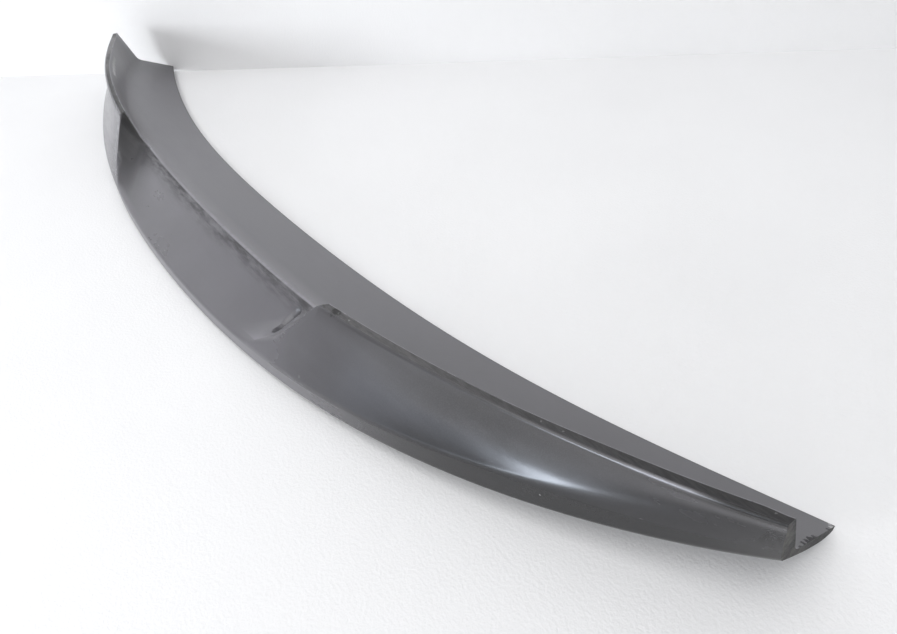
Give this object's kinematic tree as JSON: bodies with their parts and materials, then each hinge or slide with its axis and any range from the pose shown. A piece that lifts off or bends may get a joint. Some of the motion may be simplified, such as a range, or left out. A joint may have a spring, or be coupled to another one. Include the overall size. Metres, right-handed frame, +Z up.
{
  "type": "car rear lip spoiler",
  "caption": "Curved one-piece moulded rear lip spoiler with a thin bonding flange, a raised rear wall and a scooped-out middle, lying with its bonding side up.",
  "frame": {"origin": "middle of the bounding box footprint, on the floor the part lies on", "axes": "+X along the span, +Y towards the thin front edge on the concave side, +Z up as the part lies, bonding side up"},
  "size_m": [1.102, 0.2055, 0.0772],
  "materials": {
    "dark_casting": "dark grey satin moulded polyurethane with a rough sanded band on the wall top and rough cut ends"
  },
  "bodies": {
    "root": {"spoiler_body": "dark_casting"}
  },
  "joints": []
}
